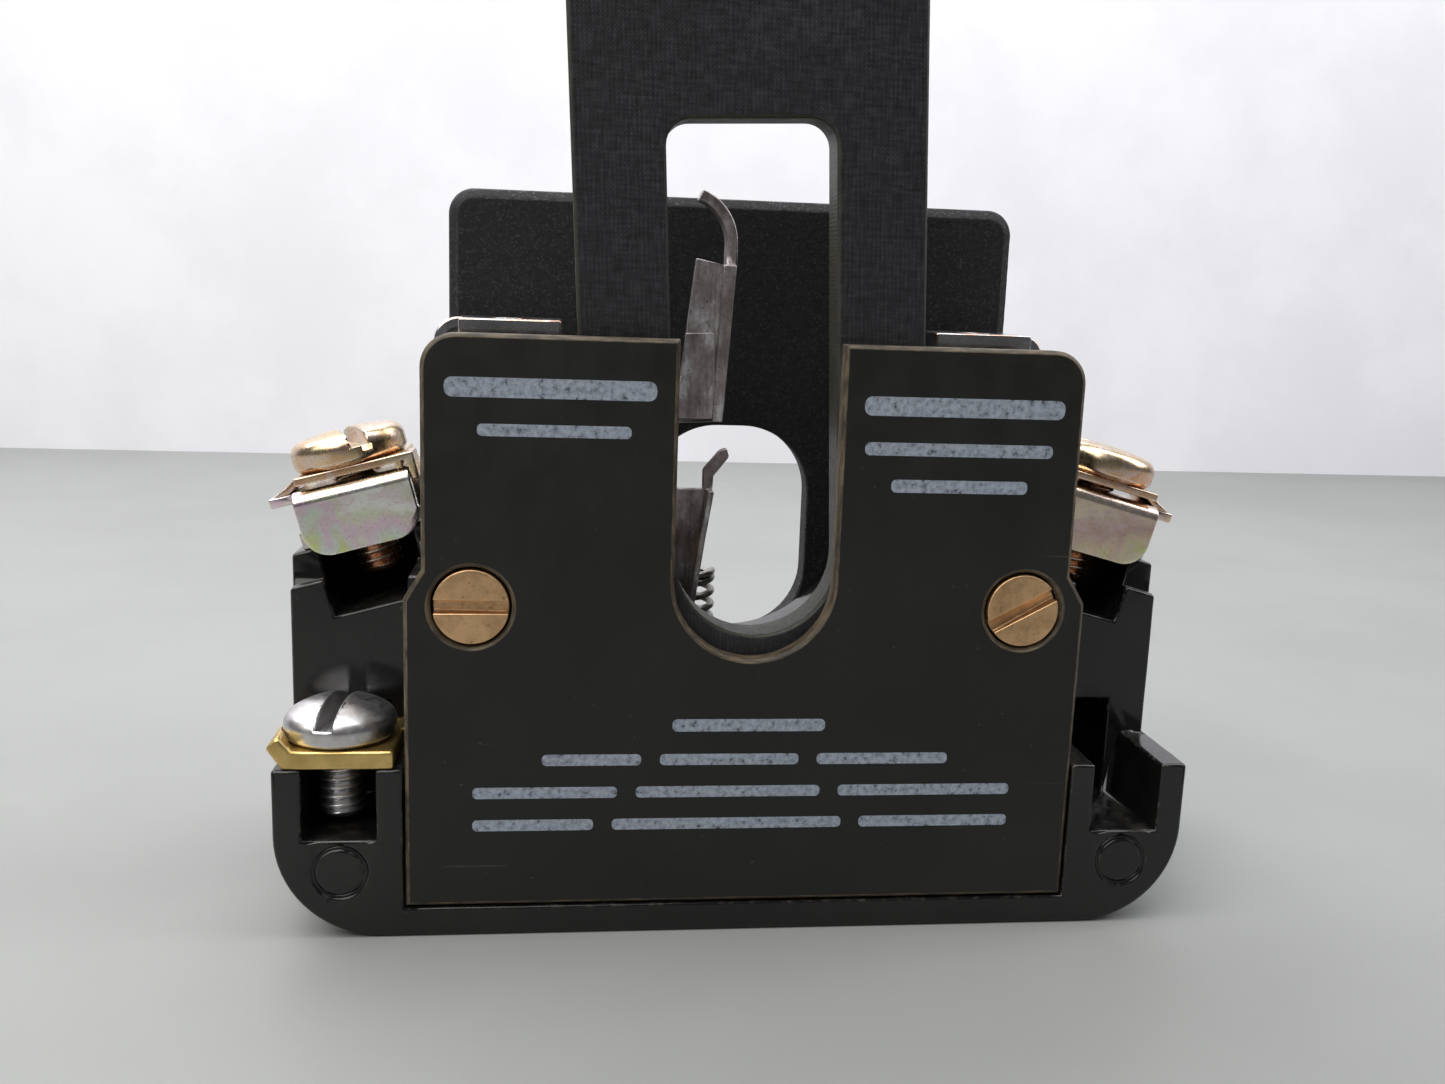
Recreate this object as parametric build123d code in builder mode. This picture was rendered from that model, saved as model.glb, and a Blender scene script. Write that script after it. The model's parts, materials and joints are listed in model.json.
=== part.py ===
"""Single-pole melting-alloy overload relay block, shown without its thermal unit.

Millimetres. X runs left to right, Y runs from the front face to the back, Z is up.
The origin is the middle of the front face's bottom edge, on the surface that the base stands on.
"""
from build123d import *
import os
from math import atan2, cos, degrees, radians, sin, tan

os.makedirs("parts", exist_ok=True)

# ---------------------------------------------------------------- driving dimensions
# Base moulding
BASE_HALF = 39.9            # half width over the wings and the side blocks
BASE_DEPTH = 30.0
BASE_TOP = 15.0             # top of the wings, where the control straps lie
BASE_CORNER_R = 9.0         # lower outer corners
FLOOR_Z = 2.6               # lip under the front plate
WING_DEPTH = 9.5
BLOCK_BACK = BASE_DEPTH - WING_DEPTH

# Pockets in the wings for the control terminal screws, and marks of the ejector pins
POCKET_X0 = 31.4
POCKET_X1 = 37.5
POCKET_FLOOR = 8.8
RECESS_X1 = 36.1            # recess in the block's face behind each pocket
RECESS_TOP = 18.1
RECESS_DEPTH = 2.5
RING_X = 34.45
RING_Z = 5.95
RING_R = 2.3
RING_W = 0.2

# Towers, either side of the central channel
TOWER_BACK = 20.5
TOWER_TOP = 50.8
TOWER_HALF = 25.9
TOWER_FOOT_HALF = 28.8
TOWER_FOOT_TOP = 31.3
CHANNEL_R = 11.3
CHANNEL_Z = 34.0

# Front plate
PLATE_T = 1.6
PLATE_HALF = 29.0
PLATE_TOP_HALF = 27.52
PLATE_BOTTOM = 2.75
PLATE_TOP = 51.35
JOG_Z0 = 29.65
JOG_Z1 = 32.1
PLATE_CORNER_R = 2.8
PLATE_BEVEL = 0.3
SLOT_HALF = 6.77
SLOT_Z = 31.4
COVER_X = 23.51             # cover screws
COVER_Z = 29.05
COVER_HEAD_R = 3.14
COVER_HOLE_R = 3.35
COVER_HEAD_H = 1.1
COVER_SHANK = 8.0
COVER_INSERT_R = 2.7

# Reset slide, which leans in its loose guides; its heights are counted from its pivot height
SLIDE_T = 4.0
SLIDE_Y = 1.8
SLIDE_HALF = 14.5
SLIDE_LEAN = 2.83
SLIDE_PIVOT_Z = 40.3
SLIDE_BOTTOM = -26.3
SLIDE_TOP = 50.0
SLIDE_BEVEL = 0.25
WINDOW_HALF = 6.94
WINDOW_TOP = 28.7
WINDOW_BOTTOM = -14.0
WINDOW_CORNER_R = 2.1
EAR_HALF = 17.6
EAR_TOP = -21.8
SLIDE_STROKE = 6.0
GROOVE_HALF = 16.2
EAR_GROOVE_HALF = 19.6
EAR_GROOVE_TOP = 19.8
GROOVE_BACK = 6.0
GROOVE_FLOOR = 3.2
RETURN_SPRING_R = 1.5
RETURN_SPRINGS = ((-9.7, 10.15), (12.3, 11.25))   # places across and free heights

# Levers on their common pin
PIN_X = -8.6
PIN_Z = 31.0
PIN_R = 1.0
RUN_CLEAR = 0.05
LEVER_T = 0.8
HUB_R = 2.3
TRIP_Y = 9.6                # front face of the trip lever's web
PAWL_Y = 12.6               # front face of the pawl lever's web
LUG_R = 2.1
LUG_FRONT = (6.2, 8.0)
LUG_REAR = (18.8, 20.5)
SPACER_R = 1.8
FLANGE_W = 2.4
CURL_X = -6.0               # curl at the top of the trip lever
CURL_Z = 59.45
CURL_R = 4.75
CURL_T = 0.95
HEM_RISE = 0.3              # how far the folded edge stands out of the web
LEAF_RISE = 0.2

# Contacts and cam, on the lower arm of the pawl lever
CAM_Z = 18.8
CAM_SLOT_R = 1.2
CAM_FRONT = 2.3
PAWL_TRAVEL = 0.1           # radians, over the whole stroke of the slide
CONTACT_FACE_X = -13.2
CONTACT_GAP = 1.3
CONTACT_R = 1.3
CONTACT_T = 0.8
CONTACT_YS = (9.0, 17.4)
TAB_W = 3.2
TAB_TOP = 21.0
BRIDGE_T = 1.0
CHAMBER_X0 = -17.2
CHAMBER_X1 = -6.2
CHAMBER_BACK = 19.3

# Trip spring, standing in its seat beside the pawl lever
SPRING_X = -4.4
SPRING_Y = 16.8
SPRING_Z = 19.5
SPRING_R = 2.55
SPRING_WIRE = 0.35
SPRING_H = 9.2
FOOT_Z = 29.35

# Power terminals, on a seat that slopes down and outwards
SLOPE = 15.0
SEAT_X = 39.5
SEAT_Z = 31.3
SEAT_IN = 6.3               # screw axis, measured up the slope from the seat's outer edge
POWER_Y = 14.5
STRAP_T = 1.6
STRAP_HALF = 3.6            # half width between the yoke's cheeks
LEG_X = TOWER_HALF + STRAP_T
PAD_INNER = 16.4
PAD_FRONT = 7.4
PAD_Z = TOWER_TOP + STRAP_T
PAD_HOLE_X = 21.4
PAD_HOLE_Y = 12.2
THREAD_R = 2.083            # number 8 screw, 32 threads to the inch
SHANK_R = 2.05
YOKE_HALF = 5.2
YOKE_T = 0.9
YOKE_TOP = 5.2
YOKE_BOTTOM = -0.84
YOKE_DEPTH_HALF = 4.9
YOKE_CORNER_R = 2.4
LEDGE = -2.7                # how far the yoke's cheeks may come down on the block
WASHER_BOTTOM = 5.75
WASHER_T = 0.7
WASHER_U0 = 1.7
WASHER_U1 = 11.2
WASHER_HALF = 4.6
GUIDE_HALF = 2.4
GUIDE_U = -1.4              # outer end of the wire guide
GUIDE_W = 4.1
POWER_HEAD_R = 5.1
POWER_SHANK = 10.15
POWER_HEAD_H = 3.1
POWER_HEAD_RIM = 2.5        # height of a head at its edge, below the crown
CONTROL_HEAD_H = 3.6
CONTROL_HEAD_RIM = 1.9
RIM_ROUND = 1.3
UNDER_CHAMFER = 0.45
SLOT_W = 1.4
SLOT_SHARE = 0.52           # depth of a slot, as a share of the height of its head
TIP_CHAMFER = 0.5

# Control terminals
CONTROL_X = 34.9
CONTROL_Y = 4.75
CONTROL_HEAD_R = 4.75
CONTROL_TIP_Z = 9.6
STRAP_TOP = BASE_TOP + STRAP_T
STRAP_NECK = (6.3, 9.3)
REAR_NECK_Y = 2.6           # neck of the rear strap, measured from the back of the base
PAD_X0 = 29.9
PAD_X1 = 38.2
LIP_DEPTH = 5.0

# Rear plate
REAR_T = 3.2
REAR_HALF = 27.1
REAR_BOTTOM = 16.9
REAR_TOP = 64.05
REAR_CORNER_R = 2.4
REAR_BEVEL = 0.8
OVAL_W = 15.7
OVAL_H = 20.7
OVAL_Z = 32.2
OVAL_R = 6.6
REAR_SCREW_X = 20.5
REAR_SCREW_Z = 46.0
REAR_SCREW_R = 1.75
REAR_SCREW_HEAD_R = 3.4

# Mounting inserts in the underside
MOUNT_X = 21.0
MOUNT_Y = BASE_DEPTH / 2
INSERT_R = 3.2
INSERT_L = 8.0

SLOPE_COS = cos(radians(SLOPE))
SLOPE_SIN = sin(radians(SLOPE))
LEAN_COS = cos(radians(SLIDE_LEAN))
LEAN_SIN = sin(radians(SLIDE_LEAN))


# ---------------------------------------------------------------- planes and helpers
def front_plane(y):
    """Plane facing the front at depth y. Its local axes are X and Z."""
    return Plane.XZ.offset(-y)


def slide_plane(y):
    """Front-facing plane in which the leaning slide is drawn."""
    return Plane(origin=(0, y, SLIDE_PIVOT_Z), x_dir=(LEAN_COS, 0, LEAN_SIN), z_dir=(0, -1, 0))


def slope_plane(y):
    """Upright plane of the right terminal: local x up the slope, local y off the seat."""
    return Plane(origin=(SEAT_X, y, SEAT_Z), x_dir=(-SLOPE_COS, 0, SLOPE_SIN), z_dir=(0, 1, 0))


def seat_plane(height):
    """Plane parallel to the right seat, its origin on the power screw's axis."""
    x = SEAT_X - SEAT_IN * SLOPE_COS + height * SLOPE_SIN
    z = SEAT_Z + SEAT_IN * SLOPE_SIN + height * SLOPE_COS
    return Plane(origin=(x, POWER_Y, z), x_dir=(-SLOPE_COS, 0, SLOPE_SIN), z_dir=(SLOPE_SIN, 0, SLOPE_COS))


def seat_height(x):
    """Height of the sloping seat at a distance x from the middle."""
    return SEAT_Z + (SEAT_X - x) * tan(radians(SLOPE))


def to_slide(x, z):
    """Place on the leaning slide of a point of the upright object."""
    dz = z - SLIDE_PIVOT_Z
    return (x * LEAN_COS + dz * LEAN_SIN, dz * LEAN_COS - x * LEAN_SIN)


def back(depth, mode=Mode.ADD):
    """Extrude the pending front-facing sketch backwards."""
    extrude(amount=-depth, mode=mode)


def sides(x0, x1, z0, z1):
    """Rectangle given by its sides."""
    with Locations(((x0 + x1) / 2, (z0 + z1) / 2)):
        Rectangle(abs(x1 - x0), abs(z1 - z0))


def outline(*points, mode=Mode.ADD):
    """Face bounded by straight lines through the points."""
    Polygon(*points, align=None, mode=mode)


def pan_screw(seat, head_r, height, rim, length, turn):
    """Screw with a crowned head standing on a seat plane, its screwdriver slot turned by an angle."""
    axis = Axis(seat.origin, seat.z_dir)
    crown = height - rim
    crown_r = (head_r**2 + crown**2) / (2 * crown)
    with BuildPart() as screw:
        with BuildSketch(Plane(origin=seat.origin, x_dir=seat.x_dir, z_dir=-seat.y_dir)):
            with BuildLine():
                Polyline(
                    (0, height), (0, 0), (head_r - UNDER_CHAMFER, 0), (head_r, UNDER_CHAMFER), (head_r, rim)
                )
                RadiusArc((head_r, rim), (0, height), -crown_r)
            make_face()
        revolve(axis=axis)
        fillet(screw.edges().filter_by(GeomType.CIRCLE).sort_by_distance(seat.origin)[-1], RIM_ROUND)
        with BuildSketch(seat):
            Circle(SHANK_R)
        extrude(amount=-length)
        tip = seat.offset(-length).origin
        chamfer(screw.edges().filter_by(GeomType.CIRCLE).sort_by_distance(tip)[0], TIP_CHAMFER)
        with BuildSketch(seat.offset(height)):
            Rectangle(SLOT_W, 3 * head_r, rotation=turn)
        extrude(amount=-SLOT_SHARE * height, mode=Mode.SUBTRACT)
    return screw


def coil(origin, radius, wire_r, height, turns):
    """Coil spring standing on its origin."""
    with BuildPart() as spring:
        with BuildLine(Plane(origin=origin)) as path:
            Helix(pitch=height / turns, height=height, radius=radius)
        with BuildSketch(Plane(origin=path.line @ 0, z_dir=path.line % 0)):
            Circle(wire_r)
        sweep(path=path.line, is_frenet=True)
    return spring.part


def save(piece, label):
    piece.part.label = label
    export_step(piece.part, f"parts/{label}.step")


def save_mirrored(right, name):
    """Write a right-hand piece and its mirror image."""
    save(right, f"{name}_right")
    with BuildPart() as left:
        mirror(right.part, about=Plane.YZ)
    save(left, f"{name}_left")


# ---------------------------------------------------------------- housing
CHEEK_Y0 = POWER_Y - YOKE_DEPTH_HALF + YOKE_T + 0.2
CHEEK_Y1 = 2 * POWER_Y - CHEEK_Y0


def side_block(y0, y1, top_offset):
    """Right side block between two depths, up to its seat lowered by an offset."""
    inner = TOWER_HALF - 4
    with BuildPart() as block:
        with BuildSketch(front_plane(y0)):
            outline(
                (inner, BASE_TOP - 5),
                (BASE_HALF, BASE_TOP - 5),
                (BASE_HALF, seat_height(BASE_HALF) + top_offset),
                (inner, seat_height(inner) + top_offset),
            )
        back(y1 - y0)
    return block.part


with BuildPart() as right_block:
    add(side_block(WING_DEPTH, BLOCK_BACK, LEDGE / SLOPE_COS))
    add(side_block(CHEEK_Y0, CHEEK_Y1, 0))
    # Room under the seat for the tip of the power screw, open at the front.
    with BuildSketch(slope_plane(WING_DEPTH - 1)):
        sides(1.9, 10.3, -6.15, 1)
    extrude(amount=CHEEK_Y1 - WING_DEPTH - 0.2, mode=Mode.SUBTRACT)

with BuildPart() as housing:
    # Lower body with rounded outer corners.
    with BuildSketch(front_plane(0)) as lower:
        sides(-BASE_HALF, BASE_HALF, 0, BASE_TOP)
        fillet(lower.vertices().group_by(Axis.Y)[0], BASE_CORNER_R)
    back(BASE_DEPTH)
    fillet(faces().sort_by(Axis.Y)[0].edges().group_by(Axis.Z)[0], 0.4)
    # Towers, still one block.
    with BuildSketch(front_plane(PLATE_T)):
        sides(-TOWER_FOOT_HALF, TOWER_FOOT_HALF, BASE_TOP - 5, TOWER_FOOT_TOP)
    back(TOWER_BACK - PLATE_T)
    with BuildSketch(front_plane(PLATE_T)):
        sides(-TOWER_HALF, TOWER_HALF, TOWER_FOOT_TOP, TOWER_TOP)
    back(TOWER_BACK - PLATE_T)
    fillet(edges().filter_by(Axis.Y).group_by(Axis.Z)[-1], 0.8)
    add(right_block.part)
    mirror(right_block.part, about=Plane.YZ)
    # Recess for the front plate.
    with BuildSketch(front_plane(0)):
        sides(-PLATE_HALF - 0.15, PLATE_HALF + 0.15, FLOOR_Z, BASE_TOP + 1)
    back(PLATE_T, Mode.SUBTRACT)
    # Groove of the reset slide, wider below for its ears.
    with BuildSketch(front_plane(PLATE_T)):
        sides(-GROOVE_HALF, GROOVE_HALF, GROOVE_FLOOR, TOWER_TOP + 1)
        sides(-EAR_GROOVE_HALF, EAR_GROOVE_HALF, GROOVE_FLOOR + 3, EAR_GROOVE_TOP)
    back(GROOVE_BACK - PLATE_T, Mode.SUBTRACT)
    # Central channel, a trough with a round bottom.
    with BuildSketch(front_plane(GROOVE_BACK)):
        with Locations((0, CHANNEL_Z)):
            Circle(CHANNEL_R)
        sides(-CHANNEL_R, CHANNEL_R, CHANNEL_Z, TOWER_TOP + 1)
    back(TOWER_BACK - GROOVE_BACK, Mode.SUBTRACT)
    # Contact chamber, and the opening for the levers above it.
    with BuildSketch(front_plane(GROOVE_BACK)):
        sides(CHAMBER_X0, CHAMBER_X1, BASE_TOP, 22.5)
    back(CHAMBER_BACK - GROOVE_BACK, Mode.SUBTRACT)
    with BuildSketch(front_plane(8.2)):
        sides(-CHANNEL_R, CHAMBER_X1, 22, CHANNEL_Z)
    back(10.4, Mode.SUBTRACT)
    # Seat of the trip spring.
    with BuildSketch(Plane.XY.offset(SPRING_Z)):
        with Locations((SPRING_X, SPRING_Y)):
            Circle(3.2)
    extrude(amount=10, mode=Mode.SUBTRACT)
    # Lugs that carry the lever pin.
    for lug_front, lug_back in (LUG_FRONT, LUG_REAR):
        with BuildSketch(front_plane(lug_front)):
            with Locations((PIN_X, PIN_Z)):
                Circle(LUG_R)
            sides(-CHANNEL_R - 1, PIN_X, PIN_Z - LUG_R, PIN_Z + LUG_R)
            with Locations((PIN_X, PIN_Z)):
                Circle(PIN_R, mode=Mode.SUBTRACT)
        back(lug_back - lug_front)
    # Channels for the control straps.
    with BuildSketch(front_plane(PLATE_T)):
        sides(-TOWER_FOOT_HALF, -16.1, BASE_TOP, STRAP_TOP + 0.2)
    back(STRAP_NECK[1] + 0.1 - PLATE_T, Mode.SUBTRACT)
    with BuildSketch(front_plane(CHAMBER_BACK - 1)):
        sides(-16.9, -13.9, BASE_TOP, STRAP_TOP + 0.2)
    back(TOWER_BACK - CHAMBER_BACK + 1, Mode.SUBTRACT)
    for side in (-1, 1):
        # Pockets at the front and at the back, with a recess in the block behind each.
        for pocket_y, recess_y in ((0, WING_DEPTH), (BLOCK_BACK, BLOCK_BACK - RECESS_DEPTH)):
            with BuildSketch(front_plane(pocket_y)):
                sides(side * POCKET_X0, side * POCKET_X1, POCKET_FLOOR, BASE_TOP + 1)
            back(WING_DEPTH, Mode.SUBTRACT)
            with BuildSketch(front_plane(recess_y)):
                sides(side * POCKET_X0, side * RECESS_X1, POCKET_FLOOR, RECESS_TOP)
            back(RECESS_DEPTH, Mode.SUBTRACT)
        # Marks of the ejector pins.
        with BuildSketch(front_plane(0)):
            with Locations((side * RING_X, RING_Z)):
                Circle(RING_R)
                Circle(RING_R - RING_W, mode=Mode.SUBTRACT)
        back(0.12, Mode.SUBTRACT)
        # Holes for the inserts, the rear screws and the thermal unit's screws.
        with BuildSketch(front_plane(PLATE_T)):
            with Locations((side * COVER_X, COVER_Z)):
                Circle(COVER_INSERT_R)
        back(COVER_SHANK + 1, Mode.SUBTRACT)
        with BuildSketch(front_plane(TOWER_BACK - 9)):
            with Locations((side * REAR_SCREW_X, REAR_SCREW_Z)):
                Circle(REAR_SCREW_R)
        back(9, Mode.SUBTRACT)
        with BuildSketch(Plane.XY.offset(TOWER_TOP - 5)):
            with Locations((side * PAD_HOLE_X, PAD_HOLE_Y)):
                Circle(2.6)
        extrude(amount=5, mode=Mode.SUBTRACT)
        with BuildSketch(Plane.XY):
            with Locations((side * MOUNT_X, MOUNT_Y)):
                Circle(INSERT_R)
        extrude(amount=INSERT_L, mode=Mode.SUBTRACT)
save(housing, "housing")

# ---------------------------------------------------------------- front plate and its screws
with BuildPart() as front_plate:
    with BuildSketch(front_plane(0)) as plate_face:
        outline(
            (-PLATE_HALF, PLATE_BOTTOM),
            (PLATE_HALF, PLATE_BOTTOM),
            (PLATE_HALF, JOG_Z0),
            (PLATE_TOP_HALF, JOG_Z1),
            (PLATE_TOP_HALF, PLATE_TOP),
            (-PLATE_TOP_HALF, PLATE_TOP),
            (-PLATE_TOP_HALF, JOG_Z1),
            (-PLATE_HALF, JOG_Z0),
        )
        fillet(plate_face.vertices().group_by(Axis.Y)[-1], PLATE_CORNER_R)
        with Locations((0, SLOT_Z)):
            Circle(SLOT_HALF, mode=Mode.SUBTRACT)
        with Locations((0, (SLOT_Z + PLATE_TOP + 1) / 2)):
            Rectangle(2 * SLOT_HALF, PLATE_TOP + 1 - SLOT_Z, mode=Mode.SUBTRACT)
        with Locations((-COVER_X, COVER_Z), (COVER_X, COVER_Z)):
            Circle(SHANK_R + 0.25, mode=Mode.SUBTRACT)
    back(PLATE_T)
    with BuildSketch(front_plane(0)):
        with Locations((-COVER_X, COVER_Z), (COVER_X, COVER_Z)):
            Circle(COVER_HOLE_R)
    back(COVER_HEAD_H, Mode.SUBTRACT)
    chamfer(faces().sort_by(Axis.Y)[0].edges(), PLATE_BEVEL)
save(front_plate, "front_plate")

with BuildPart() as cover_screws:
    for side, slot_turn in ((-1, 90), (1, -62)):
        seat = Plane(origin=(side * COVER_X, COVER_HEAD_H, COVER_Z), x_dir=(1, 0, 0), z_dir=(0, -1, 0))
        with BuildSketch(seat):
            Circle(COVER_HEAD_R)
        extrude(amount=COVER_HEAD_H)
        with BuildSketch(seat):
            Circle(SHANK_R)
        extrude(amount=-COVER_SHANK)
        with BuildSketch(seat.offset(COVER_HEAD_H)):
            Rectangle(1.1, 3 * COVER_HEAD_R, rotation=slot_turn)
        extrude(amount=-0.8, mode=Mode.SUBTRACT)
save(cover_screws, "cover_screws")

with BuildPart() as cover_inserts:
    with BuildSketch(front_plane(PLATE_T)):
        with Locations((-COVER_X, COVER_Z), (COVER_X, COVER_Z)):
            Circle(COVER_INSERT_R)
            Circle(THREAD_R, mode=Mode.SUBTRACT)
    back(COVER_SHANK + 1)
save(cover_inserts, "cover_inserts")

# ---------------------------------------------------------------- reset slide and its springs
with BuildPart() as reset_slide:
    with BuildSketch(slide_plane(SLIDE_Y)) as slide_face:
        sides(-SLIDE_HALF, SLIDE_HALF, SLIDE_BOTTOM, SLIDE_TOP)
        fillet(slide_face.vertices().group_by(Axis.Y)[-1], 3)
        sides(-EAR_HALF, EAR_HALF, SLIDE_BOTTOM, EAR_TOP)
    back(SLIDE_T)
    # Window, square above and round below.
    with BuildSketch(slide_plane(SLIDE_Y)) as window:
        sides(-WINDOW_HALF, WINDOW_HALF, WINDOW_BOTTOM + WINDOW_HALF, WINDOW_TOP)
        fillet(window.vertices().group_by(Axis.Y)[-1], WINDOW_CORNER_R)
        with Locations((0, WINDOW_BOTTOM + WINDOW_HALF)):
            Circle(WINDOW_HALF)
    back(SLIDE_T, Mode.SUBTRACT)
    chamfer(faces().sort_by(Axis.Y)[0].edges(), SLIDE_BEVEL)
    chamfer(faces().sort_by(Axis.Y)[-1].edges(), SLIDE_BEVEL)
    # Sloping slot that moves the cam pin sideways as the slide goes down.
    cam_low = to_slide(PIN_X, CAM_Z)
    cam_top = to_slide(
        PIN_X - (PIN_Z - CAM_Z) * PAWL_TRAVEL - SLIDE_STROKE * LEAN_SIN,
        CAM_Z + SLIDE_STROKE * LEAN_COS,
    )
    cam_run = Vector(*cam_top) - Vector(*cam_low)
    cam_middle = (Vector(*cam_top) + Vector(*cam_low)) / 2
    with BuildSketch(slide_plane(SLIDE_Y)):
        with Locations(cam_middle):
            SlotCenterToCenter(cam_run.length, 2 * CAM_SLOT_R, rotation=degrees(atan2(cam_run.Y, cam_run.X)))
    back(SLIDE_T, Mode.SUBTRACT)
save(reset_slide, "reset_slide")

with BuildPart() as reset_springs:
    for spring_x, spring_h in RETURN_SPRINGS:
        foot = (spring_x, SLIDE_Y + SLIDE_T / 2, GROOVE_FLOOR + 0.25)
        add(coil(foot, RETURN_SPRING_R, 0.2, spring_h - 0.5, 8))
save(reset_springs, "reset_springs")

# ---------------------------------------------------------------- lever pin, spacers and trip spring
with BuildPart() as lever_pin:
    with BuildSketch(front_plane(LUG_FRONT[0])):
        with Locations((PIN_X, PIN_Z)):
            Circle(PIN_R)
    back(LUG_REAR[1] - 0.1 - LUG_FRONT[0])
save(lever_pin, "lever_pin")

SPACER_SPANS = (
    (LUG_FRONT[1], TRIP_Y - 0.1),
    (TRIP_Y + LEVER_T + 0.1, PAWL_Y - 0.1),
    (PAWL_Y + LEVER_T + 0.1, LUG_REAR[0]),
)
with BuildPart() as pin_spacers:
    for spacer_front, spacer_back in SPACER_SPANS:
        with BuildSketch(front_plane(spacer_front)):
            with Locations((PIN_X, PIN_Z)):
                Circle(SPACER_R)
                Circle(PIN_R, mode=Mode.SUBTRACT)
        back(spacer_back - spacer_front)
save(pin_spacers, "pin_spacers")

with BuildPart() as trip_spring:
    add(coil((SPRING_X, SPRING_Y, SPRING_Z + SPRING_WIRE), SPRING_R, SPRING_WIRE, SPRING_H - 0.1, 6.5))
save(trip_spring, "trip_spring")

# ---------------------------------------------------------------- trip lever, with its curled tip
with BuildPart() as trip_lever:
    with BuildSketch(front_plane(TRIP_Y)):
        outline(
            (PIN_X - 1.8, PIN_Z),
            (PIN_X + 1.8, PIN_Z),
            (-6.7, 43.7),
            (-2.2, 43.9),
            (-1.4, 57.4),
            (-4.85, 58.1),
            (-6.05, 47.3),
            (-8.0, 45.6),
            (PIN_X - 1.8, 43.0),
        )
        with Locations((PIN_X, PIN_Z)):
            Circle(HUB_R)
            Circle(PIN_R + RUN_CLEAR, mode=Mode.SUBTRACT)
    back(LEVER_T)
    # Folded edge along the right, standing a little out of the web.
    with BuildSketch(front_plane(TRIP_Y - HEM_RISE)):
        outline((-2.1, 43.9), (-1.3, 57.6), (-2.45, 57.6), (-3.1, 43.9))
    back(FLANGE_W + HEM_RISE)
    # Second leaf, riveted over the lower part of the web.
    with BuildSketch(front_plane(TRIP_Y - LEAF_RISE)):
        outline((-2.9, 51.75), (-5.65, 51.65), (-6.0, 47.4), (-7.3, 46.2), (-6.8, 44.1), (-2.9, 44.1))
    back(LEAF_RISE)
    # The top is curled over to the left.
    with BuildSketch(front_plane(TRIP_Y)):
        with Locations((CURL_X, CURL_Z)):
            Circle(CURL_R)
            Circle(CURL_R - CURL_T, mode=Mode.SUBTRACT)
        outline((CURL_X, CURL_Z), (3, CURL_Z), (3, 66), (CURL_X + 2.3, 66), mode=Mode.INTERSECT)
        sides(CURL_X + CURL_R - CURL_T, CURL_X + CURL_R, 57.3, CURL_Z)
    back(FLANGE_W)
save(trip_lever, "trip_lever")

# ---------------------------------------------------------------- pawl lever, cam pin and contact bridge
BRIDGE_X = CONTACT_FACE_X + CONTACT_GAP + CONTACT_T
ARM_X0 = BRIDGE_X + BRIDGE_T
with BuildPart() as pawl_lever:
    with BuildSketch(front_plane(PAWL_Y)):
        outline(
            (ARM_X0, STRAP_TOP + 0.4),
            (-7.0, STRAP_TOP + 0.4),
            (-7.0, 26.3),
            (-4.0, 26.4),
            (-3.1, 33.2),
            (-2.45, 37.4),
            (-2.4, 38.6),
            (-1.0, 40.4),
            (-1.25, 41.2),
            (-1.9, 41.0),
            (-3.4, 39.2),
            (-3.4, 37.4),
            (-10.4, 37.4),
            (-10.9, 30.0),
            (ARM_X0, 22.0),
        )
        with Locations((PIN_X, PIN_Z)):
            Circle(PIN_R + RUN_CLEAR, mode=Mode.SUBTRACT)
    back(LEVER_T)
    # Stiffening flange, turned forward along the right-hand edge.
    with BuildSketch(front_plane(PAWL_Y - 1.6)):
        outline((-4.0, 26.4), (-3.1, 33.2), (-2.45, 37.4), (-3.05, 37.4), (-3.7, 33.2), (-4.6, 26.4))
    back(1.7)
    # Foot on the trip spring.
    with BuildSketch(Plane.XY.offset(FOOT_Z)):
        sides(-6.6, -3.7, PAWL_Y + LEVER_T / 2, SPRING_Y + 1.8)
    extrude(amount=LEVER_T)
save(pawl_lever, "pawl_lever")

with BuildPart() as cam_pin:
    with BuildSketch(front_plane(CAM_FRONT)):
        with Locations((PIN_X, CAM_Z)):
            Circle(1.0)
    back(PAWL_Y - CAM_FRONT)
save(cam_pin, "cam_pin")

with BuildPart() as contact_bridge:
    with BuildSketch(Plane.YZ.offset(BRIDGE_X)):
        sides(CONTACT_YS[0] - 1.6, CONTACT_YS[1] + 1.6, CAM_Z - 1.4, CAM_Z + 1.4)
    extrude(amount=BRIDGE_T)
save(contact_bridge, "contact_bridge")


def contact_buttons(face_x, thickness):
    """Pair of round silver contacts whose working faces lie at face_x."""
    with BuildPart() as buttons:
        with BuildSketch(Plane.YZ.offset(face_x)):
            with Locations(*[(y, CAM_Z) for y in CONTACT_YS]):
                Circle(CONTACT_R)
        extrude(amount=thickness)
    return buttons


save(contact_buttons(CONTACT_FACE_X + CONTACT_GAP, CONTACT_T), "moving_contacts")
save(contact_buttons(CONTACT_FACE_X, -CONTACT_T), "fixed_contacts")

# ---------------------------------------------------------------- control straps and screws
TAB_X1 = CONTACT_FACE_X - CONTACT_T
TAB_X0 = TAB_X1 - STRAP_T


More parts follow.
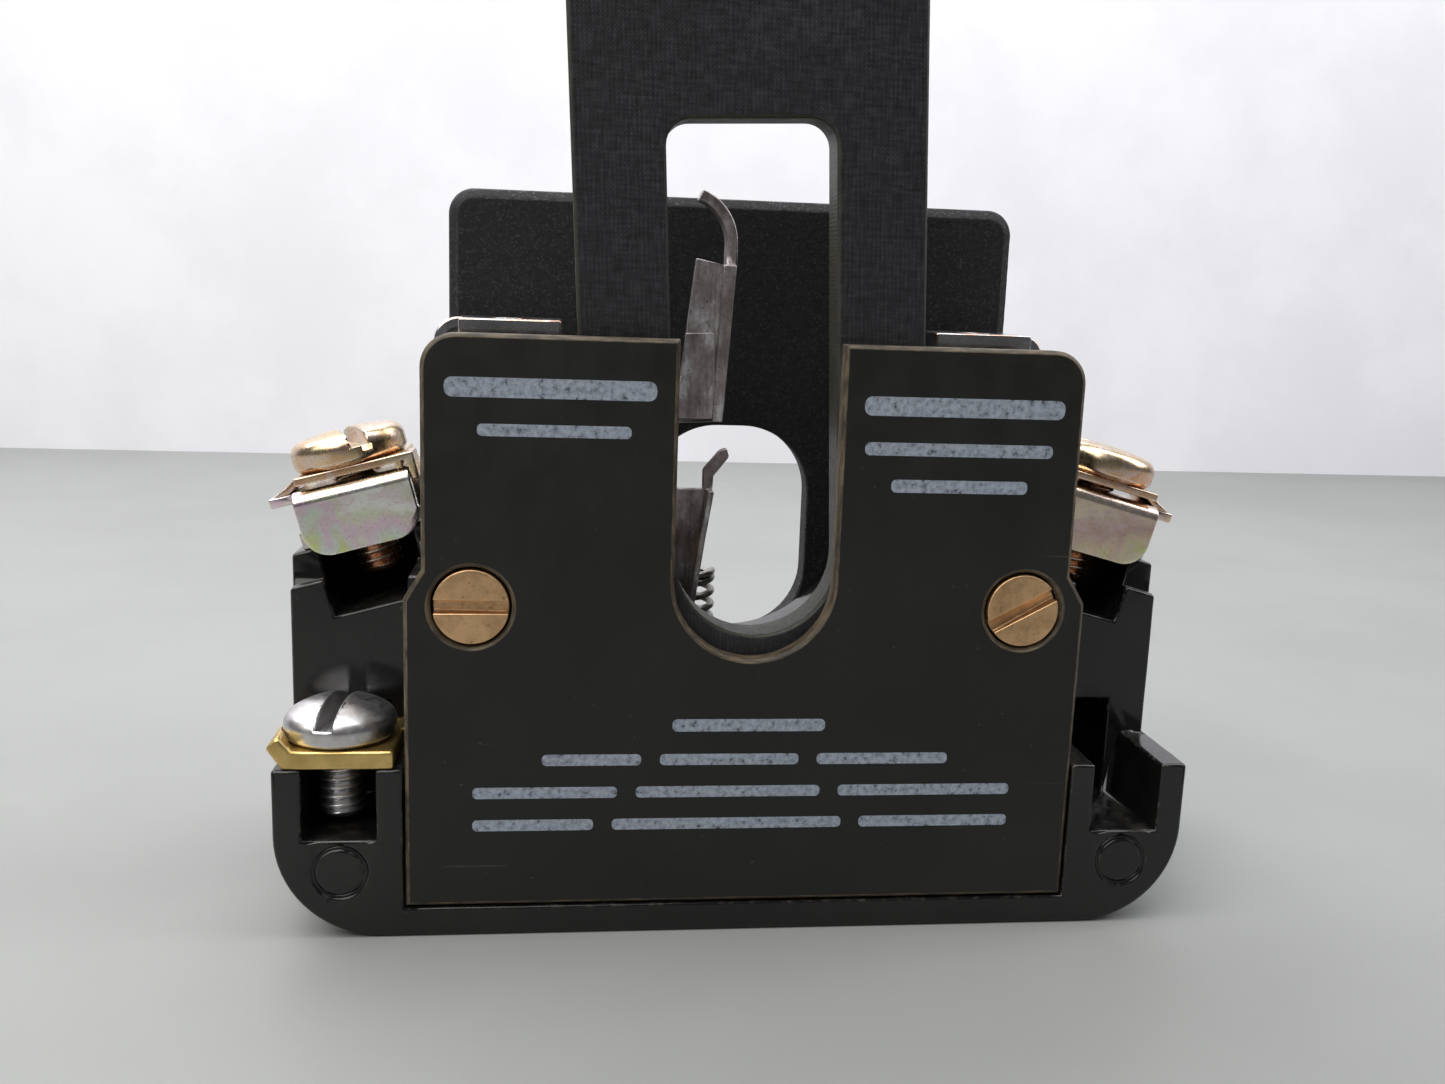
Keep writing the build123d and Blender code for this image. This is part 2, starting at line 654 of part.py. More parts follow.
def control_strap(neck_sides, tab_y):
    """Left-hand brass strap: terminal pad, upturned outer end, flat neck and contact tab."""
    with BuildPart() as strap:
        with BuildSketch(Plane.XY.offset(BASE_TOP)):
            sides(-PAD_X1, -PAD_X0, 0.1, WING_DEPTH - 0.2)
            for rectangle in neck_sides:
                sides(*rectangle)
            with Locations((-CONTROL_X, CONTROL_Y)):
                Circle(THREAD_R, mode=Mode.SUBTRACT)
        extrude(amount=STRAP_T)
        with BuildSketch(front_plane(0.1)) as lip:
            outline(
                (-PAD_X1, BASE_TOP),
                (-PAD_X1, STRAP_TOP),
                (-39.3, STRAP_TOP + 1.3),
                (-40.3, STRAP_TOP + 0.3),
                (-39.0, BASE_TOP),
            )
            fillet(lip.vertices().group_by(Axis.X)[0], 0.4)
            fillet(lip.vertices().sort_by(Axis.Y)[-1], 0.4)
        back(LIP_DEPTH)
        # The lip stays clear of the screw's head.
        with BuildSketch(Plane.XY.offset(STRAP_TOP)):
            with Locations((-CONTROL_X, CONTROL_Y)):
                Circle(CONTROL_HEAD_R + 0.1)
        extrude(amount=3, mode=Mode.SUBTRACT)
        if tab_y:
            with BuildSketch(Plane.YZ.offset(TAB_X0)):
                sides(tab_y - TAB_W / 2, tab_y + TAB_W / 2, BASE_TOP, TAB_TOP)
            extrude(amount=STRAP_T)
    return strap


FRONT_NECK = (
    (-PAD_X0 - 1, TAB_X1, *STRAP_NECK),
    (-16.9, TAB_X1, STRAP_NECK[0], CONTACT_YS[0] + TAB_W / 2),
)
save(control_strap(FRONT_NECK, CONTACT_YS[0]), "control_strap_front")

with BuildPart() as rear_pad:
    add(control_strap(((-PAD_X0 - 1, -27.0, REAR_NECK_Y, REAR_NECK_Y + 3),), None).part)
with BuildPart() as control_strap_rear:
    add(rear_pad.part.rotate(Axis((0, MOUNT_Y, 0), (0, 0, 1)), 180))
    with BuildSketch(Plane.XY.offset(BASE_TOP)):
        sides(TAB_X0 - 1.2, PAD_X0 + 1, BASE_DEPTH - REAR_NECK_Y - 3, BASE_DEPTH - REAR_NECK_Y)
        sides(TAB_X0 - 1.2, TAB_X1, CONTACT_YS[1] - TAB_W / 2, BASE_DEPTH - REAR_NECK_Y)
    extrude(amount=STRAP_T)
    with BuildSketch(Plane.YZ.offset(TAB_X0)):
        sides(CONTACT_YS[1] - TAB_W / 2, CONTACT_YS[1] + TAB_W / 2, BASE_TOP, TAB_TOP)
    extrude(amount=STRAP_T)
save(control_strap_rear, "control_strap_rear")

for name, side, screw_y in (("front", -1, CONTROL_Y), ("rear", 1, BASE_DEPTH - CONTROL_Y)):
    seat = Plane(origin=(side * CONTROL_X, screw_y, STRAP_TOP))
    shank = STRAP_TOP - CONTROL_TIP_Z
    screw = pan_screw(seat, CONTROL_HEAD_R, CONTROL_HEAD_H, CONTROL_HEAD_RIM, shank, -9)
    save(screw, f"control_screw_{name}")

# ---------------------------------------------------------------- power terminals
def on_slope(u, w):
    """X and Z of a point u up the slope of the right seat and w off it."""
    return (SEAT_X - u * SLOPE_COS + w * SLOPE_SIN, SEAT_Z + u * SLOPE_SIN + w * SLOPE_COS)


with BuildPart() as power_strap:
    with BuildSketch(front_plane(POWER_Y - STRAP_HALF)):
        outline(
            on_slope(0.6, 0),
            on_slope(0.6, STRAP_T),
            (LEG_X, seat_height(LEG_X) + STRAP_T / SLOPE_COS),
            (LEG_X, PAD_Z),
            (PAD_INNER, PAD_Z),
            (PAD_INNER, TOWER_TOP),
            (TOWER_HALF, TOWER_TOP),
            (TOWER_HALF, seat_height(TOWER_HALF)),
        )
    back(2 * STRAP_HALF)
    fillet(power_strap.edges().filter_by(Axis.Y).sort_by_distance((LEG_X, POWER_Y, PAD_Z))[0], 2.2)
    fillet(power_strap.edges().filter_by(Axis.Y).sort_by_distance((TOWER_HALF, POWER_Y, TOWER_TOP))[0], 0.7)
    # The heater pad is wider towards the front.
    with BuildSketch(Plane.XY.offset(TOWER_TOP)):
        sides(PAD_INNER, TOWER_HALF - 0.8, PAD_FRONT, POWER_Y)
    extrude(amount=STRAP_T)
    with BuildSketch(Plane.XY.offset(TOWER_TOP)):
        with Locations((PAD_HOLE_X, PAD_HOLE_Y)):
            Circle(THREAD_R)
    extrude(amount=STRAP_T, mode=Mode.SUBTRACT)
    with BuildSketch(seat_plane(-1)):
        Circle(THREAD_R)
    extrude(amount=STRAP_T + 2, mode=Mode.SUBTRACT)
save_mirrored(power_strap, "power_strap")

with BuildPart() as yoke:
    y0 = POWER_Y - YOKE_DEPTH_HALF
    with BuildSketch(slope_plane(y0)) as cheek:
        sides(SEAT_IN - YOKE_HALF, SEAT_IN + YOKE_HALF, YOKE_BOTTOM, YOKE_TOP)
        fillet(cheek.vertices().group_by(Axis.Y)[0], YOKE_CORNER_R)
    extrude(amount=2 * YOKE_DEPTH_HALF)
    top_face = yoke.faces().sort_by_distance(seat_plane(YOKE_TOP).origin)[0]
    fillet(top_face.edges().group_by(Axis.Y)[0] + top_face.edges().group_by(Axis.Y)[-1], 1.2)
    with BuildSketch(slope_plane(y0 + YOKE_T)):
        sides(SEAT_IN - YOKE_HALF - 1, SEAT_IN + YOKE_HALF + 1, YOKE_BOTTOM - 1, YOKE_TOP - YOKE_T)
    extrude(amount=2 * (YOKE_DEPTH_HALF - YOKE_T), mode=Mode.SUBTRACT)
    # Guide for the wire, reaching outwards over the seat's edge.
    with BuildSketch(slope_plane(POWER_Y - GUIDE_HALF)):
        sides(GUIDE_U, SEAT_IN - YOKE_HALF + 0.5, GUIDE_W, GUIDE_W + YOKE_T)
    extrude(amount=2 * GUIDE_HALF)
    with BuildSketch(seat_plane(YOKE_TOP - 2)):
        Circle(SHANK_R + 0.25)
    extrude(amount=4, mode=Mode.SUBTRACT)
save_mirrored(yoke, "yoke")

with BuildPart() as saddle_washer:
    with BuildSketch(slope_plane(POWER_Y - WASHER_HALF)):
        sides(WASHER_U0, WASHER_U1, WASHER_BOTTOM, WASHER_BOTTOM + WASHER_T)
        sides(WASHER_U1 - WASHER_T, WASHER_U1, YOKE_TOP, WASHER_BOTTOM + WASHER_T)
    extrude(amount=2 * WASHER_HALF)
    with BuildSketch(slope_plane(POWER_Y - WASHER_HALF)):
        sides(SEAT_IN + YOKE_HALF + 0.1, SEAT_IN + YOKE_HALF + 0.8, YOKE_TOP - 1.2, WASHER_BOTTOM + WASHER_T)
        sides(WASHER_U1 - WASHER_T, SEAT_IN + YOKE_HALF + 0.8, WASHER_BOTTOM, WASHER_BOTTOM + WASHER_T)
    extrude(amount=3)
    # Outer leg, slanting down on to the yoke's guide.
    with BuildSketch(slope_plane(POWER_Y - GUIDE_HALF)):
        outline(
            (WASHER_U0 + 0.8, WASHER_BOTTOM),
            (WASHER_U0 + 0.8, WASHER_BOTTOM + WASHER_T),
            (WASHER_U0 + 0.1, WASHER_BOTTOM + WASHER_T),
            (GUIDE_U + 0.5, GUIDE_W + YOKE_T),
            (GUIDE_U + 1.9, GUIDE_W + YOKE_T),
            (WASHER_U0, WASHER_BOTTOM),
        )
    extrude(amount=2 * GUIDE_HALF)
    with BuildSketch(seat_plane(WASHER_BOTTOM - 1)):
        Circle(SHANK_R + 0.25)
    extrude(amount=3, mode=Mode.SUBTRACT)
save_mirrored(saddle_washer, "saddle_washer")

power_seat = seat_plane(WASHER_BOTTOM + WASHER_T)
for name, side, slot_turn in (("right", 1, -86), ("left", -1, -21)):
    screw = pan_screw(power_seat, POWER_HEAD_R, POWER_HEAD_H, POWER_HEAD_RIM, POWER_SHANK, slot_turn)
    with BuildPart() as power_screw:
        add(screw.part if side > 0 else mirror(screw.part, about=Plane.YZ, mode=Mode.PRIVATE))
    save(power_screw, f"power_screw_{name}")

# ---------------------------------------------------------------- rear plate, its screws and the inserts
with BuildPart() as rear_plate:
    with BuildSketch(front_plane(TOWER_BACK)) as rear_face:
        sides(-REAR_HALF, REAR_HALF, REAR_BOTTOM, REAR_TOP)
        fillet(rear_face.vertices().group_by(Axis.Y)[-1], REAR_CORNER_R)
        with Locations((0, OVAL_Z)):
            RectangleRounded(OVAL_W, OVAL_H, OVAL_R, mode=Mode.SUBTRACT)
        with Locations((-REAR_SCREW_X, REAR_SCREW_Z), (REAR_SCREW_X, REAR_SCREW_Z)):
            Circle(REAR_SCREW_R + 0.25, mode=Mode.SUBTRACT)
    back(REAR_T)
    chamfer(rear_plate.faces().sort_by(Axis.Y)[0].outer_wire().edges(), REAR_BEVEL)
save(rear_plate, "rear_plate")

with BuildPart() as rear_plate_screws:
    for side in (-1, 1):
        seat = Plane(
            origin=(side * REAR_SCREW_X, TOWER_BACK + REAR_T, REAR_SCREW_Z),
            x_dir=(-1, 0, 0),
            z_dir=(0, 1, 0),
        )
        with BuildSketch(seat):
            Circle(REAR_SCREW_HEAD_R)
        extrude(amount=2.2)
        with BuildSketch(seat):
            Circle(REAR_SCREW_R)
        extrude(amount=-REAR_T - 8)
        with BuildSketch(seat.offset(2.2)):
            Rectangle(1.0, 3 * REAR_SCREW_HEAD_R, rotation=20 * side)
        extrude(amount=-0.9, mode=Mode.SUBTRACT)
    fillet(rear_plate_screws.edges().filter_by(GeomType.CIRCLE).group_by(Axis.Y)[-1], 0.7)
save(rear_plate_screws, "rear_plate_screws")

with BuildPart() as mounting_inserts:
    with BuildSketch(Plane.XY):
        with Locations((-MOUNT_X, MOUNT_Y), (MOUNT_X, MOUNT_Y)):
            Circle(INSERT_R)
            Circle(THREAD_R, mode=Mode.SUBTRACT)
    extrude(amount=INSERT_L)
save(mounting_inserts, "mounting_inserts")
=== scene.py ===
"""Looks of a single-pole thermal overload relay block, shown without its thermal unit.

Metres. X runs left to right, Y from the front to the back, Z up, as in the CAD model.
"""

import json
import math

import bmesh
import bpy
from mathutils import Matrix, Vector, noise


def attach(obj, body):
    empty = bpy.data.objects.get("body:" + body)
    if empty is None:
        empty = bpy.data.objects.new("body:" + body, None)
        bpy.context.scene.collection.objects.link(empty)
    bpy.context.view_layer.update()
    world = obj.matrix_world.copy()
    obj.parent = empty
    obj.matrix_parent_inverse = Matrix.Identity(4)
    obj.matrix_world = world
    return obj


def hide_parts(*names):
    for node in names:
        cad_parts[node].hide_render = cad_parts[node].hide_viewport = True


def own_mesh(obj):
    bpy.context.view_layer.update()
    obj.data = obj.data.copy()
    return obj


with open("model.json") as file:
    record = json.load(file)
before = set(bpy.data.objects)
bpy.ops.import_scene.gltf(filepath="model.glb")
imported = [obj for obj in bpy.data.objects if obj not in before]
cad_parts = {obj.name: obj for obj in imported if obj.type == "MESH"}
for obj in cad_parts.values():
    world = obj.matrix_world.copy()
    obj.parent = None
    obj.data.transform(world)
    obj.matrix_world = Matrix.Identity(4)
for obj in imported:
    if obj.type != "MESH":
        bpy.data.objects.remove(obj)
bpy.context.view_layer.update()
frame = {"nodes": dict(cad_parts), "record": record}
NODES = frame["nodes"]
BODY_OF = {
    node: body
    for body, members in frame["record"]["behaviour"]["bodies"].items()
    for node in members
}

MM = 0.001
SLOPE = math.radians(15.0)
THREAD_PITCH = 0.79375 * MM
THREAD_CREST = 2.05 * MM
THREAD_DEPTH = 0.46 * MM
THREAD_SUNK = 0.05 * MM     # how far the threaded shank reaches into the head
HEAD_EDGE = 0.16 * MM


# ---------------------------------------------------------------- procedural materials
class Shade:
    """Builds one procedural material out of nodes."""

    def __init__(self, name, roughness=0.5, metallic=0.0, ior=1.5):
        self.mat = bpy.data.materials.new(name)
        self.mat.use_nodes = True
        self.tree = self.mat.node_tree
        self.bsdf = self.tree.nodes["Principled BSDF"]
        self.bsdf.inputs["Roughness"].default_value = roughness
        self.bsdf.inputs["Metallic"].default_value = metallic
        self.bsdf.inputs["IOR"].default_value = ior
        self.place = self.node("ShaderNodeTexCoord").outputs["Object"]
        self.normal = None

    def node(self, kind, **settings):
        made = self.tree.nodes.new(kind)
        for key, value in settings.items():
            setattr(made, key, value)
        return made

    def put(self, value, socket):
        """Link an output to a socket, or set the socket to a plain value."""
        if isinstance(value, bpy.types.NodeSocket):
            self.tree.links.new(value, socket)
        elif isinstance(value, tuple) and len(value) == 3 and socket.type == "RGBA":
            socket.default_value = (*value, 1.0)
        else:
            socket.default_value = value

    def mapped(self, scale=(1, 1, 1), turn=(0, 0, 0)):
        mapping = self.node("ShaderNodeMapping")
        mapping.inputs["Scale"].default_value = scale
        mapping.inputs["Rotation"].default_value = turn
        self.put(self.place, mapping.inputs["Vector"])
        return mapping.outputs["Vector"]

    def noise(self, size_mm, detail=3.0, rough=0.55, vector=None, distortion=0.0):
        """Noise whose features are about size_mm across, from 0 to 1."""
        tex = self.node("ShaderNodeTexNoise")
        self.put(vector or self.place, tex.inputs["Vector"])
        tex.inputs["Scale"].default_value = 1000.0 / size_mm
        tex.inputs["Detail"].default_value = detail
        tex.inputs["Roughness"].default_value = rough
        tex.inputs["Distortion"].default_value = distortion
        return tex.outputs["Fac"]

    def cells(self, size_mm):
        """A random colour for each cell of about size_mm."""
        tex = self.node("ShaderNodeTexVoronoi")
        self.put(self.place, tex.inputs["Vector"])
        tex.inputs["Scale"].default_value = 1000.0 / size_mm
        return tex.outputs["Color"]

    def math(self, operation, first, second=0.0, clamp=False):
        made = self.node("ShaderNodeMath", operation=operation, use_clamp=clamp)
        self.put(first, made.inputs[0])
        self.put(second, made.inputs[1])
        return made.outputs[0]

    def span(self, value, low, high, to_low=0.0, to_high=1.0):
        """Map low..high onto to_low..to_high, smoothly and clamped."""
        made = self.node("ShaderNodeMapRange", interpolation_type="SMOOTHSTEP")
        self.put(value, made.inputs["Value"])
        made.inputs["From Min"].default_value = low
        made.inputs["From Max"].default_value = high
        made.inputs["To Min"].default_value = to_low
        made.inputs["To Max"].default_value = to_high
        return made.outputs["Result"]

    def mix(self, share, first, second):
        made = self.node("ShaderNodeMix", data_type="RGBA")
        self.put(share, made.inputs["Factor"])
        self.put(first, made.inputs["A"])
        self.put(second, made.inputs["B"])
        return made.outputs["Result"]

    def ramp(self, value, *stops):
        made = self.node("ShaderNodeValToRGB")
        self.put(value, made.inputs["Fac"])
        elements = made.color_ramp.elements
        while len(elements) < len(stops):
            elements.new(0.5)
        for element, (position, colour) in zip(elements, stops):
            element.position = position
            element.color = (*colour, 1.0)
        return made.outputs["Color"]

    def axis(self, name):
        """One coordinate of the surface point, in metres."""
        split = self.node("ShaderNodeSeparateXYZ")
        self.put(self.place, split.inputs[0])
        return split.outputs[name]

    def facing(self, name):
        """One component of the surface normal in the object's own space."""
        split = self.node("ShaderNodeSeparateXYZ")
        self.put(self.node("ShaderNodeTexCoord").outputs["Normal"], split.inputs[0])
        return split.outputs[name]

    def edge(self):
        """1 in the middle of a worn edge, 0 on the open faces."""
        return self.node("ShaderNodeAttribute", attribute_name="edge").outputs["Fac"]

    def bump(self, height, depth_mm, strength=1.0):
        made = self.node("ShaderNodeBump")
        self.put(height, made.inputs["Height"])
        made.inputs["Distance"].default_value = depth_mm * MM
        made.inputs["Strength"].default_value = strength
        if self.normal:
            self.put(self.normal, made.inputs["Normal"])
        self.normal = made.outputs["Normal"]
        self.put(self.normal, self.bsdf.inputs["Normal"])

    def colour(self, value):
        self.put(value, self.bsdf.inputs["Base Color"])

    def rough(self, value):
        self.put(value, self.bsdf.inputs["Roughness"])


def phenolic():
    """Glossy black moulding: flow marks, smudges, dust and paler worn edges."""
    s = Shade("moulded_phenolic", ior=1.5)
    flow = s.noise(9, 4, 0.6, s.mapped((1, 1, 0.35)))
    grain = s.noise(0.35, 4, 0.65)
    base = s.mix(s.span(flow, 0.35, 0.7), (0.0060, 0.0056, 0.0054), (0.0105, 0.0098, 0.0094))
    specks = s.span(s.noise(0.6, 2, 0.5), 0.72, 0.78, 0.0, 0.35)
    base = s.mix(specks, base, (0.10, 0.095, 0.088))
    up = s.span(s.facing("Z"), 0.6, 1.0)
    dust = s.math("MULTIPLY", up, s.span(s.noise(2.2, 6, 0.7), 0.40, 0.75, 0.0, 0.30))
    base = s.mix(dust, base, (0.11, 0.105, 0.098))
    worn = s.math("MULTIPLY", s.edge(), s.span(s.noise(1.3, 5, 0.7), 0.48, 0.68, 0.0, 0.7))
    s.colour(s.mix(worn, base, (0.085, 0.078, 0.070)))
    smudge = s.span(s.noise(5, 5, 0.65), 0.35, 0.72, 0.13, 0.28)
    s.rough(s.math("ADD", smudge, s.math("MULTIPLY", s.math("ADD", dust, worn), 0.35), clamp=True))
    s.bump(flow, 0.05, 0.5)
    s.bump(grain, 0.003, 0.6)
    return s.mat


def laminate_face():
    """Matt black face of the cover: fine tooth, faint rubs and hairline scratches."""
    s = Shade("laminate_face", ior=1.45)
    cloud = s.noise(12, 5, 0.6)
    base = s.mix(s.span(cloud, 0.35, 0.7), (0.0088, 0.0083, 0.0070), (0.0135, 0.0127, 0.0108))
    rubs = s.span(s.noise(1.6, 6, 0.75, s.mapped((1, 1, 0.6))), 0.58, 0.78, 0.0, 0.30)
    base = s.mix(rubs, base, (0.040, 0.038, 0.034))
    line_a = s.span(s.noise(0.9, 2, 0.5, s.mapped((0.045, 1, 1), (0, 0.5, 0))), 0.715, 0.735)
    line_b = s.span(s.noise(1.1, 2, 0.5, s.mapped((0.05, 1, 1), (0, -1.1, 0))), 0.725, 0.745)
    lines = s.math("MULTIPLY", s.math("MAXIMUM", line_a, line_b), s.span(cloud, 0.45, 0.6, 0.0, 0.5))
    base = s.mix(lines, base, (0.075, 0.070, 0.064))
    specks = s.span(s.noise(0.5, 2, 0.5), 0.715, 0.77, 0.0, 0.5)
    s.colour(s.mix(specks, base, (0.10, 0.10, 0.095)))
    s.rough(s.span(s.noise(3.0, 5, 0.6), 0.3, 0.7, 0.42, 0.58))
    s.bump(s.noise(0.22, 3, 0.6), 0.008, 0.8)
    return s.mat


def laminate_edge():
    """Cut edge of the cover: tan and brown layers of resin and paper."""
    s = Shade("laminate_edge", roughness=0.6)
    layer = s.noise(0.22, 3, 0.6, s.mapped((0.12, 1, 0.12)))
    blotch = s.noise(2.0, 5, 0.7)
    base = s.mix(s.span(layer, 0.35, 0.65), (0.055, 0.040, 0.023), (0.150, 0.115, 0.070))
    s.colour(s.mix(s.span(blotch, 0.42, 0.72, 0.0, 0.85), base, (0.020, 0.016, 0.011)))
    s.bump(layer, 0.03, 0.8)
    return s.mat


def fibre():
    """Fine linen-filled board: woven threads show under a thin black skin."""
    s = Shade("linen_fibre", ior=1.45)
    split = s.node("ShaderNodeSeparateXYZ")
    s.put(s.mapped((1, 1, 1), (0, math.radians(2.83), 0)), split.inputs[0])
    wobble = s.math("MULTIPLY", s.math("SUBTRACT", s.noise(1.6, 4, 0.65), 0.5), 5.0)
    turns = 2 * math.pi / (0.34 * MM)
    across = s.math("SINE", s.math("ADD", s.math("MULTIPLY", split.outputs["X"], turns), wobble))
    along = s.math("SINE", s.math("ADD", s.math("MULTIPLY", split.outputs["Z"], turns), wobble))
    crossing = s.math("MULTIPLY", across, along)
    thread = s.math("ADD", s.math("MULTIPLY", across, 0.4), s.math("MULTIPLY", crossing, 0.6))
    slub_x = s.noise(0.30, 3, 0.6, s.mapped((0.16, 1, 1)))
    slub_z = s.noise(0.30, 3, 0.6, s.mapped((1, 1, 0.16)))
    slub = s.math("MULTIPLY", s.math("ADD", slub_x, slub_z), 0.5)
    cloud = s.noise(9, 5, 0.65)
    patchy = s.math("ADD", slub, s.math("MULTIPLY", cloud, 0.25))
    tone = s.math("ADD", s.math("MULTIPLY", thread, 0.10), patchy)
    base = s.ramp(
        s.span(tone, 0.36, 0.92),
        (0.0, (0.0090, 0.0084, 0.0098)),
        (0.5, (0.0205, 0.0190, 0.0225)),
        (1.0, (0.0450, 0.0425, 0.0480)),
    )
    side = s.span(s.math("ABSOLUTE", s.facing("Y")), 0.97, 0.80)
    side = s.math("MULTIPLY", side, s.span(s.noise(0.9, 5, 0.7), 0.3, 0.6, 0.3, 1.0))
    base = s.mix(side, base, (0.040, 0.040, 0.026))
    scuff = s.span(s.noise(1.8, 6, 0.75, s.mapped((1, 1, 0.25))), 0.62, 0.80, 0.0, 0.40)
    s.colour(s.mix(scuff, base, (0.060, 0.060, 0.062)))
    s.rough(s.span(slub, 0.3, 0.7, 0.40, 0.60))
    s.bump(thread, 0.012, 0.6)
    s.bump(slub, 0.020, 0.7)
    return s.mat


def rough_board():
    """Coarse black board at the back: fine grains lit up by painted glints, and a paler bevel that is a
    painted highlight.
    """
    s = Shade("rough_board", ior=1.45)
    coarse = s.noise(0.9, 6, 0.75)
    pits = s.noise(0.30, 5, 0.75)
    base = s.mix(s.span(coarse, 0.35, 0.7), (0.0040, 0.0038, 0.0040), (0.0120, 0.0115, 0.0122))
    base = s.mix(s.span(pits, 0.50, 0.68, 0.0, 0.7), base, (0.030, 0.029, 0.032))
    split = s.node("ShaderNodeSeparateColor")
    s.put(s.cells(0.15), split.inputs[0])
    # painted glint: a few fine grains are painted paler and bluish as sparkle, and are also made glossier
    glint = s.math("MULTIPLY", s.span(split.outputs["Red"], 0.86, 0.93), s.span(pits, 0.38, 0.60, 0.1, 1.0))
    base = s.mix(glint, base, (0.042, 0.043, 0.047))
    # painted highlight: the rounded bevel is painted paler, unevenly along its length
    worn = s.math("MULTIPLY", s.edge(), s.span(s.noise(0.8, 5, 0.7), 0.35, 0.6, 0.15, 0.8))
    s.colour(s.mix(worn, base, (0.060, 0.057, 0.052)))
    s.rough(s.span(glint, 0.0, 1.0, 0.74, 0.34))
    s.bump(coarse, 0.12, 0.9)
    s.bump(pits, 0.05, 0.9)
    return s.mat


def metal(name, light, dark, roughness, streak=None, tarnish=0.35, spots=None, pitting=0.003):
    """Plain metal with tarnish clouds, fine scratches, spots and bright worn edges."""
    s = Shade(name, metallic=1.0)
    cloud = s.noise(2.6, 6, 0.68)
    base = s.mix(s.span(cloud, 0.35, 0.72, 0.0, tarnish * 2), light, dark)
    fine = s.noise(0.45, 5, 0.7)
    if spots:
        base = s.mix(s.span(s.noise(0.7, 5, 0.72), 0.56, 0.72, 0.0, 0.8), base, spots)
    bright = tuple(min(1.0, c * 1.15) for c in light)
    s.colour(s.mix(s.math("MULTIPLY", s.edge(), 0.6), base, bright))
    gloss = s.span(fine, 0.3, 0.7, roughness * 0.8, roughness * 1.25)
    s.rough(s.math("ADD", gloss, s.math("MULTIPLY", cloud, 0.08)))
    if streak:
        s.bump(s.noise(0.10, 3, 0.6, s.mapped(streak)), 0.003, 0.7)
    s.bump(fine, pitting, 0.7)
    return s.mat


def chromate(name, tints, low_z, high_z, roughness=0.24, swirl=2.6):
    """Chromate-plated steel: a thin pearly film whose tint drifts over the height and swirls. On the yokes
    the palest tint, at the top, is a painted highlight.
    """
    s = Shade(name, metallic=1.0)
    # the tint follows the height; on the yokes its top end is a painted highlight, paler towards the top
    height = s.span(s.axis("Z"), low_z, high_z)
    swirls = s.math("SUBTRACT", s.noise(5.5, 2, 0.5, distortion=1.0), 0.5)
    drift = s.math("ADD", height, s.math("MULTIPLY", swirls, swirl))
    stops = [(i / (len(tints) - 1), tint) for i, tint in enumerate(tints)]
    film = s.ramp(drift, *stops)
    pearl = s.span(s.noise(2.4, 2, 0.5, s.mapped((1, 1, 1.8), (0.6, 0.4, 0.2)), 1.2), 0.45, 0.68, 0.0, 0.55)
    film = s.mix(pearl, film, (0.80, 0.64, 0.66))
    stain = s.span(s.noise(1.3, 6, 0.72), 0.60, 0.76, 0.0, 0.2)
    film = s.mix(stain, film, tuple(c * 0.55 for c in tints[1]))
    s.colour(s.mix(s.math("MULTIPLY", s.edge(), 0.5), film, (0.90, 0.84, 0.72)))
    fine = s.noise(0.4, 4, 0.65)
    s.rough(s.span(fine, 0.3, 0.7, roughness * 0.85, roughness * 1.2))
    s.bump(s.noise(0.12, 3, 0.6, s.mapped((0.08, 1, 1))), 0.002, 0.7)
    s.bump(fine, 0.002, 0.7)
    return s.mat


def print_ink():
    """White screen-printed ink, thin and broken where it has worn."""
    s = Shade("print_ink", roughness=0.6)
    worn = s.noise(0.55, 5, 0.7)
    stops = ((0.40, (0.40, 0.45, 0.53)), (0.57, (0.25, 0.285, 0.34)), (0.66, (0.04, 0.042, 0.044)))
    s.colour(s.ramp(worn, *stops))
    s.bump(worn, 0.01, 0.8)
    return s.mat


def lever_steel():
    """Bare spring steel, brown-grey, with rubbed bright patches and rusty specks."""
    s = Shade("lever_steel", metallic=0.85)
    cloud = s.noise(2.4, 6, 0.7, s.mapped((1, 1, 0.6)))
    base = s.ramp(
        cloud,
        (0.30, (0.190, 0.155, 0.145)),
        (0.45, (0.400, 0.345, 0.335)),
        (0.54, (0.560, 0.500, 0.500)),
        (0.62, (0.880, 0.850, 0.870)),
    )
    drawn = s.noise(0.35, 3, 0.6, s.mapped((1, 1, 0.05)))
    base = s.mix(s.span(drawn, 0.45, 0.68, 0.0, 0.45), base, (0.17, 0.135, 0.12))
    specks = s.span(s.noise(0.45, 4, 0.7), 0.60, 0.70, 0.0, 0.75)
    base = s.mix(specks, base, (0.085, 0.045, 0.026))
    s.colour(s.mix(s.math("MULTIPLY", s.edge(), 0.65), base, (0.50, 0.46, 0.44)))
    fine = s.noise(0.3, 5, 0.7)
    s.rough(s.span(fine, 0.3, 0.7, 0.32, 0.55))
    s.bump(fine, 0.012, 0.8)
    s.bump(cloud, 0.04, 0.7)
    return s.mat


def tinned_copper():
    """Bright tin plate over copper, which shows where the plate is rubbed or bent."""
    s = Shade("tinned_copper", metallic=1.0)
    cloud = s.noise(3.2, 6, 0.7)
    tin = s.mix(s.span(cloud, 0.3, 0.7), (0.80, 0.79, 0.78), (0.56, 0.54, 0.52))
    rubbed = s.math("MULTIPLY", s.edge(), s.span(s.noise(1.4, 5, 0.7), 0.42, 0.62, 0.0, 0.8))
    thin = s.span(s.noise(1.1, 6, 0.7), 0.60, 0.74, 0.0, 0.5)
    s.colour(s.mix(s.math("MAXIMUM", rubbed, thin), tin, (0.62, 0.32, 0.18)))
    s.rough(s.span(s.noise(0.6, 5, 0.7), 0.3, 0.7, 0.10, 0.24))
    s.bump(s.noise(0.10, 3, 0.6, s.mapped((1, 0.06, 1))), 0.003, 0.7)
    s.bump(cloud, 0.03, 0.6)
    return s.mat


